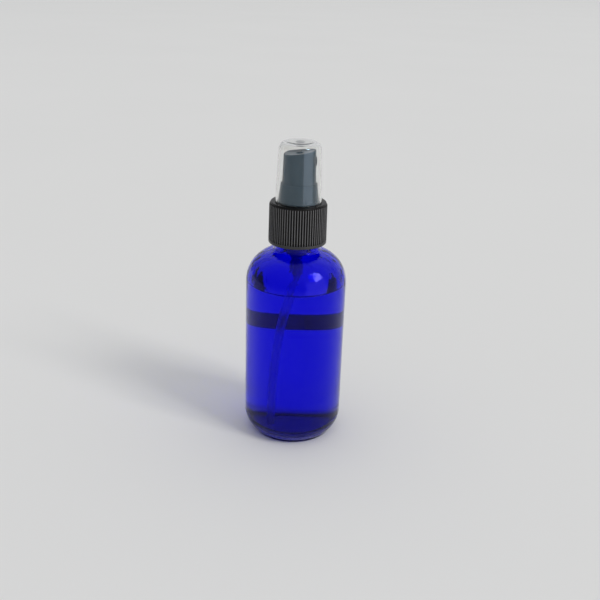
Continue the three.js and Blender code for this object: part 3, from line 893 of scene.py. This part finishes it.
def smooth_path(points, per_span):
    """A Catmull-Rom curve through a list of points."""
    out = []
    last = len(points) - 1
    for i in range(last):
        p0, p1, p2, p3 = (points[max(i - 1, 0)], points[i], points[i + 1], points[min(i + 2, last)])
        for k in range(per_span):
            t = k / per_span
            out.append(0.5 * (2 * p1 + (p2 - p0) * t + (2 * p0 - 5 * p1 + 4 * p2 - p3) * t * t
                              + (3 * p1 - p0 - 3 * p2 + p3) * t ** 3))
    out.append(points[-1].copy())
    return out


TUBE_RADIUS = 1.8
TUBE_BORE = 1.2
TUBE_LEAN = 14.6
TUBE_HEADING = 232
TUBE_BOW = 2.6
TUBE_FLOOR_GAP = 1.6
TUBE_SLANT = 0.7
TUBE_FOOT_CUT = 1.3


def build_tube():
    """The dip tube: straight in its socket, then bowed towards the wall, its foot cut at a slant."""
    heading = math.radians(TUBE_HEADING)
    out = Vector((math.cos(heading), math.sin(heading), 0))
    bend_z = socket_z - TUBE_RADIUS
    foot_z = BASE_THICKNESS + TUBE_FLOOR_GAP
    points = [Vector((0, 0, head("dip_tube"))), Vector((0, 0, socket_z + TUBE_RADIUS)),
              Vector((0, 0, socket_z)), Vector((0, 0, bend_z))]
    for drop in (0.07, 0.15, 0.27, 0.42, 0.6, 0.8, 1):
        lean = TUBE_LEAN * (1 - (1 - drop) ** TUBE_BOW)
        points.append(out * lean + Vector((0, 0, bend_z + (foot_z - bend_z) * drop)))
    path = smooth_path(points, 8)
    around = 32
    verts, faces = [], []
    side = None
    last = len(path) - 1
    for i, point in enumerate(path):
        ahead = (path[min(i + 1, last)] - path[max(i - 1, 0)]).normalized()
        side = ahead.orthogonal().normalized() if side is None else side
        side = (side - ahead * side.dot(ahead)).normalized()
        up = ahead.cross(side)
        for radius in (TUBE_RADIUS, TUBE_BORE):
            for k in range(around):
                a = 2 * math.pi * k / around
                spot = side * (radius * math.cos(a)) + up * (radius * math.sin(a))
                if i == last:
                    spot -= ahead * (spot.dot(out) * TUBE_SLANT + TUBE_FOOT_CUT)
                verts.append(tuple(point + spot))
    row = 2 * around
    for i in range(last):
        for k in range(around):
            n = (k + 1) % around
            a, b = i * row, (i + 1) * row
            faces.append((a + k, a + n, b + n, b + k))
            faces.append((a + around + n, a + around + k, b + around + k, b + around + n))
    for k in range(around):
        n = (k + 1) % around
        end = last * row
        faces.append((n, k, around + k, around + n))
        faces.append((end + k, end + n, end + around + n, end + around + k))
    tube = add_mesh("dip_tube_bowed", verts, faces)
    set_ior(tube, lambda at: PLASTIC_IOR / LIQUID_IOR if at.z < LIQUID_Z else PLASTIC_IOR)
    return finish_piece(tube, "pump", "tube_plastic", tube_clear, "dip_tube")


# ---------------------------------------------------------------- actuator and insert

PAD_SLOPE = math.radians(8.5)
PAD_DISH = 36.0
DIMPLE_RADIUS = 2.0
DIMPLE_DEPTH = 0.9
BUTTON_RADIUS = 7.85
BUTTON_TOP_RADIUS = 7.5
BUTTON_WALL = 1.1
BUTTON_RISE = 13.9
CROWN_THICKNESS = 2.4
RIM_ROUND = 0.55
BOSS_RADIUS = 3.4
BOSS_BORE = 1.96
BOSS_DEPTH = 5.05
pad_middle_z = hub_top_z + BUTTON_RISE
crown_z = pad_middle_z - CROWN_THICKNESS


def pad_z(x, y):
    """Height of the finger pad's surface: a tilted shallow dish with a dimple in its middle."""
    r2 = x * x + y * y
    dish = r2 / (2 * PAD_DISH)
    r = math.sqrt(r2)
    dimple = 0.0
    if r < DIMPLE_RADIUS:
        share = 1 - (r / DIMPLE_RADIUS) ** 2
        dimple = DIMPLE_DEPTH * share * share * (3 - 2 * share)
    return pad_middle_z + x * math.tan(PAD_SLOPE) + dish - dimple


def build_actuator():
    """The button: a tapered skirt, a rounded rim and a dished pad outside; a hollow shell inside."""
    steps = 128
    inner = BUTTON_RADIUS - BUTTON_WALL
    rings = []

    def side_r(z):
        rise = max(0.0, (z - hub_top_z) / BUTTON_RISE)
        return BUTTON_RADIUS + (BUTTON_TOP_RADIUS - BUTTON_RADIUS) * rise

    def ring_at(place):
        """One ring of points: place(angle) gives radius and z."""
        ring = []
        for k in range(steps):
            a = 2 * math.pi * k / steps
            r, z = place(a)
            ring.append((r * math.cos(a), r * math.sin(a), z))
        rings.append(ring)

    def rim_z_at(a):
        return pad_z(BUTTON_TOP_RADIUS * math.cos(a), BUTTON_TOP_RADIUS * math.sin(a))

    for r, z in fillet([(inner, crown_z, 0), (inner, actuator_foot_z, 0.15),
                        (BUTTON_RADIUS, actuator_foot_z, 0.25), (BUTTON_RADIUS, hub_top_z, 0)], 4)[1:-1]:
        ring_at(lambda a, r=r, z=z: (r, z))
    for share in (0.05, 0.2, 0.4, 0.6, 0.8, 0.95):

        def side(a, share=share):
            z = hub_top_z + (rim_z_at(a) - RIM_ROUND - hub_top_z) * share
            return side_r(z), z

        ring_at(side)
    for t in (0, 18, 36, 54, 72, 90):
        c, s = math.cos(math.radians(t)), math.sin(math.radians(t))

        def place(a, c=c, s=s):
            r = side_r(rim_z_at(a)) - RIM_ROUND * (1 - c)
            flat = pad_z(r * math.cos(a), r * math.sin(a))
            return r, flat - RIM_ROUND * (1 - s)

        ring_at(place)
    # The pad's rings stand closer together over the dimple
    for r in (6.2, 5.4, 4.4, 3.4, 2.6, 2.2, 2.0, 1.85, 1.7, 1.5, 1.3, 1.1, 0.8, 0.5, 0.25):
        ring_at(lambda a, r=r: (r, pad_z(r * math.cos(a), r * math.sin(a))))
    verts = [v for ring in rings for v in ring]
    faces = []
    for i in range(len(rings) - 1):
        for k in range(steps):
            n = (k + 1) % steps
            a, b = i * steps, (i + 1) * steps
            faces.append((a + k, a + n, b + n, b + k))
    last = (len(rings) - 1) * steps
    verts.append((0, 0, pad_z(0, 0)))
    for k in range(steps):
        faces.append((last + k, last + (k + 1) % steps, len(verts) - 1))
    # Inside: the stem socket, its boss and the crown's underside
    inside = fillet([
        (0, actuator_foot_z + BOSS_DEPTH, 0),
        (BOSS_BORE, actuator_foot_z + BOSS_DEPTH, 0.1),
        (BOSS_BORE, actuator_foot_z, 0.2),
        (BOSS_RADIUS, actuator_foot_z, 0.15),
        (BOSS_RADIUS, crown_z, 0.5),
        (inner, crown_z, 0.6),
        (inner, actuator_foot_z + 0.4, 0),
    ], 4)
    ring_ids = []
    for r, z in inside:
        if r < 1e-6:
            ring_ids.append([len(verts)])
            verts.append((0, 0, z))
            continue
        ring_ids.append(list(range(len(verts), len(verts) + steps)))
        for k in range(steps):
            a = 2 * math.pi * k / steps
            verts.append((r * math.cos(a), r * math.sin(a), z))
    ring_ids.append(list(range(steps)))
    for lower, upper in zip(ring_ids, ring_ids[1:]):
        for k in range(steps):
            n = (k + 1) % steps
            if len(lower) == 1:
                faces.append((lower[0], upper[n], upper[k]))
            else:
                faces.append((lower[k], lower[n], upper[n], upper[k]))
    actuator = add_mesh("spray_button", verts, faces)
    cut_nozzle_bore(actuator)
    return finish_piece(actuator, "actuator", "actuator_plastic", smooth_black, "actuator")


INSERT_RADIUS = 2.1
INSERT_LENGTH = 3.4
INSERT_GAP = 0.08
SWIRL_RADIUS = 1.1
SWIRL_DEPTH = 1.6
ORIFICE_RADIUS = 0.22


def along_x(piece, x, z):
    """Lays a piece that was turned round Z along X, its foot at x."""
    piece.data.transform(Matrix.Translation((x * MM, 0, z * MM)) @ Matrix.Rotation(math.pi / 2, 4, "Y"))


def cut_nozzle_bore(actuator):
    """Cuts the insert's bore in the button's side and applies the cut."""
    bore = INSERT_RADIUS + INSERT_GAP
    cutter = turned("bore_cutter", [(0, 0), (bore, 0), (bore, 6), (0, 6)], steps=48)
    along_x(cutter, nozzle_tip_x - INSERT_LENGTH - INSERT_GAP, nozzle_z)
    cut = actuator.modifiers.new("bore", "BOOLEAN")
    cut.operation = "DIFFERENCE"
    cut.object = cutter
    bpy.context.view_layer.update()
    whole = actuator.evaluated_get(bpy.context.evaluated_depsgraph_get())
    mesh = bpy.data.meshes.new_from_object(whole)
    actuator.modifiers.clear()
    actuator.data = mesh
    bpy.data.objects.remove(cutter)


def build_insert():
    """The nozzle insert: a cup with a swirl chamber behind a fine orifice in a shallow cone."""
    profile = fillet([
        (SWIRL_RADIUS, 0, 0.05),
        (INSERT_RADIUS, 0, 0.15),
        (INSERT_RADIUS, INSERT_LENGTH, 0.25),
        (1.25, INSERT_LENGTH, 0.12),
        (0.9, INSERT_LENGTH - 0.35, 0.15),
        (ORIFICE_RADIUS, INSERT_LENGTH - 0.5, 0.04),
        (ORIFICE_RADIUS, SWIRL_DEPTH, 0.04),
        (SWIRL_RADIUS, SWIRL_DEPTH, 0.1),
    ], 4, closed=True)
    insert = turned("nozzle_insert", profile, closed=True, steps=64)
    along_x(insert, nozzle_tip_x - INSERT_LENGTH, nozzle_z)
    return finish_piece(insert, "actuator", "actuator_plastic", insert_black, "spray_insert")


# ---------------------------------------------------------------- overcap

CAP_TOP_RADIUS = 9.88
CAP_WALL = 0.85
CAP_ROUND = 3.6
CAP_EDGE = 0.25
CAP_FOOT_ROOM = 0.3
GATE_RADIUS = 1.9
GATE_DEPTH = 0.7


def build_overcap():
    """A thin clear cap; under the middle of its top is the pip that the mould's gate leaves."""
    r = CAP_TOP_RADIUS - CAP_ROUND
    z = cap_top_z - CAP_ROUND
    rows = 10
    outer_side = [(cap_radius + (CAP_TOP_RADIUS - cap_radius) * k / rows,
                   cap_foot_z + CAP_FOOT_ROOM + (z - cap_foot_z - CAP_FOOT_ROOM) * k / rows)
                  for k in range(rows)]
    inner_side = [(pr - CAP_WALL, pz) for pr, pz in reversed(outer_side)]
    outside = [
        (cap_radius - CAP_WALL + 0.2, cap_foot_z),
        *arc(cap_radius - CAP_EDGE, cap_foot_z + CAP_EDGE, CAP_EDGE, -90, 0, 4),
        *outer_side[1:],
        *arc(r, z, CAP_ROUND, 0, 90, 14),
        (r - 0.15, cap_top_z),
        (r * 0.5, cap_top_z),
        (0, cap_top_z),
    ]
    under = cap_top_z - CAP_WALL
    inside = [
        (0, under - GATE_DEPTH),
        (GATE_RADIUS - 0.35, under - GATE_DEPTH),
        (GATE_RADIUS - 0.1, under - 0.55),
        (GATE_RADIUS, under - 0.1),
        (GATE_RADIUS + 0.12, under),
        (GATE_RADIUS + 0.3, under),
        (r - 0.15, under),
        *arc(r, z, CAP_ROUND - CAP_WALL, 90, 0, 12),
        *inner_side,
        (cap_radius - CAP_WALL, cap_foot_z + 0.2),
    ]
    cap = turned("clear_overcap", [*outside, *inside], closed=True, steps=144)
    return finish_piece(cap, "overcap", "clear_plastic", cap_clear, "overcap")


# ---------------------------------------------------------------- camera, floor and light

CAMERA_PLACE = (0, -0.3676, 0.2186)
CAMERA_PITCH, CAMERA_YAW, CAMERA_ROLL = 22.15, 0.35, 1.91
CAMERA_LENS = 48.5
FLOOR_HALF_SIZE = 30.0
ROOM_BRIGHT_SIDE = (0.45, 0.35, 0.82)
ROOM_DARK = 0.34
ROOM_BRIGHT = 0.72
WINDOW_AZIMUTH = -33
WINDOW_ELEVATION = 42
WINDOW_AWAY = 40
WINDOW_PANE = 0.12
WINDOW_SPACING = 1.14
WINDOW_POWER = 5200
PANEL_AZIMUTH = -42
PANEL_AWAY = 0.27
PANEL_WIDTH = 0.26
PANEL_HEIGHT = 0.24
PANEL_POWER = 0.18


def build_camera():
    """In front of the bottle and above it, looking down at it, with a slight roll."""
    pitch, yaw, roll = (math.radians(a) for a in (CAMERA_PITCH, CAMERA_YAW, CAMERA_ROLL))
    ahead = Vector((math.sin(yaw) * math.cos(pitch), math.cos(yaw) * math.cos(pitch), -math.sin(pitch)))
    right = Vector((math.cos(yaw), -math.sin(yaw), 0))
    up = right.cross(ahead)
    across = right * math.cos(roll) + up * math.sin(roll)
    upward = up * math.cos(roll) - right * math.sin(roll)
    data = bpy.data.cameras.new("camera")
    data.lens = CAMERA_LENS
    data.sensor_width = 36
    data.clip_start = 0.01
    data.clip_end = 100
    camera = bpy.data.objects.new("camera", data)
    turn = Matrix((across, upward, -ahead)).transposed().to_4x4()
    camera.matrix_world = Matrix.Translation(CAMERA_PLACE) @ turn
    bpy.context.scene.collection.objects.link(camera)
    bpy.context.scene.camera = camera


def build_floor():
    """A plain pale floor, far wider than any view."""
    size = FLOOR_HALF_SIZE
    mesh = bpy.data.meshes.new("floor")
    mesh.from_pydata([(-size, -size, 0), (size, -size, 0), (size, size, 0), (-size, size, 0)], [],
                     [(0, 1, 2, 3)])
    floor = bpy.data.objects.new("floor", mesh)
    bpy.context.scene.collection.objects.link(floor)
    material, nodes, links, shader = new_material("paper_floor")
    broad = noise(nodes, links, 2.2, 3)
    links.new(tint(nodes, links, broad, (0.80, 0.80, 0.79), (0.83, 0.83, 0.82)),
              shader.inputs["Base Color"])
    shader.inputs["Roughness"].default_value = 0.9
    shader.inputs["Specular IOR Level"].default_value = 0.1
    bump(nodes, links, shader, noise(nodes, links, 14, 4), 0.0012, 0.25)
    mesh.materials.append(material)


def aim(light, place, target):
    """Puts a light at a place and turns it to a target."""
    light.location = place
    light.rotation_euler = (Vector(target) - Vector(place)).to_track_quat("-Z", "Y").to_euler()


def area_light(name, place, target, width, height, power, colour):
    """A rectangular light that the camera doesn't see."""
    data = bpy.data.lights.new(name, "AREA")
    data.shape = "RECTANGLE"
    data.size = width
    data.size_y = height
    data.energy = power
    data.color = colour
    light = bpy.data.objects.new(name, data)
    bpy.context.scene.collection.objects.link(light)
    aim(light, place, target)
    light.visible_camera = False
    return light


def build_light():
    """A high window and a pale panel at the front right, and a room that is brighter at the right."""
    world = bpy.data.worlds.new("room")
    world.use_nodes = True
    background = world.node_tree.nodes["Background"]
    background.inputs["Color"].default_value = (0.97, 0.98, 1.0, 1)
    nodes, links = world.node_tree.nodes, world.node_tree.links
    toward = nodes.new("ShaderNodeTexCoord")
    facing = nodes.new("ShaderNodeVectorMath")
    facing.operation = "DOT_PRODUCT"
    facing.inputs[1].default_value = Vector(ROOM_BRIGHT_SIDE).normalized()
    links.new(toward.outputs["Generated"], facing.inputs[0])
    level = nodes.new("ShaderNodeMapRange")
    level.interpolation_type = "SMOOTHSTEP"
    level.inputs["From Min"].default_value = -0.3
    level.inputs["From Max"].default_value = 0.8
    level.inputs["To Min"].default_value = ROOM_DARK
    level.inputs["To Max"].default_value = ROOM_BRIGHT
    links.new(facing.outputs["Value"], level.inputs["Value"])
    links.new(level.outputs["Result"], background.inputs["Strength"])
    bpy.context.scene.world = world
    side, rise = math.radians(WINDOW_AZIMUTH), math.radians(WINDOW_ELEVATION)
    away = Vector((math.cos(rise) * math.cos(side), math.cos(rise) * math.sin(side), math.sin(rise)))
    across = Vector((0, 0, 1)).cross(away).normalized()
    upward = away.cross(across)
    target = Vector((0, 0, rim_z * MM / 2))
    pane = WINDOW_AWAY * WINDOW_PANE
    columns, rows = (-0.5, 0.5), (-1, 0, 1)
    power = WINDOW_POWER / (len(columns) * len(rows))
    for column in columns:
        for row in rows:
            offset = (across * column + upward * row) * pane * WINDOW_SPACING
            place = target + away * WINDOW_AWAY + offset
            area_light("window", place, target, pane, pane, power, (1, 0.985, 0.96))
    near = math.radians(PANEL_AZIMUTH)
    clear_of_floor = 0.004
    place = Vector((PANEL_AWAY * math.cos(near), PANEL_AWAY * math.sin(near),
                    PANEL_HEIGHT / 2 + clear_of_floor))
    panel = area_light("side_panel", place, Vector((0, 0, place.z)), PANEL_WIDTH, PANEL_HEIGHT,
                       PANEL_POWER, (1, 0.92, 0.96))
    panel.visible_diffuse = False


build_bottle()
build_liquid()
build_label()
build_closure()
build_turret()
build_housing()
build_washers()
build_stem()
build_piston()
build_spring()
build_ball()
build_tube()
build_actuator()
build_insert()
build_overcap()
build_camera()
build_floor()
build_light()

bpy.context.scene.view_settings.view_transform = "Standard"
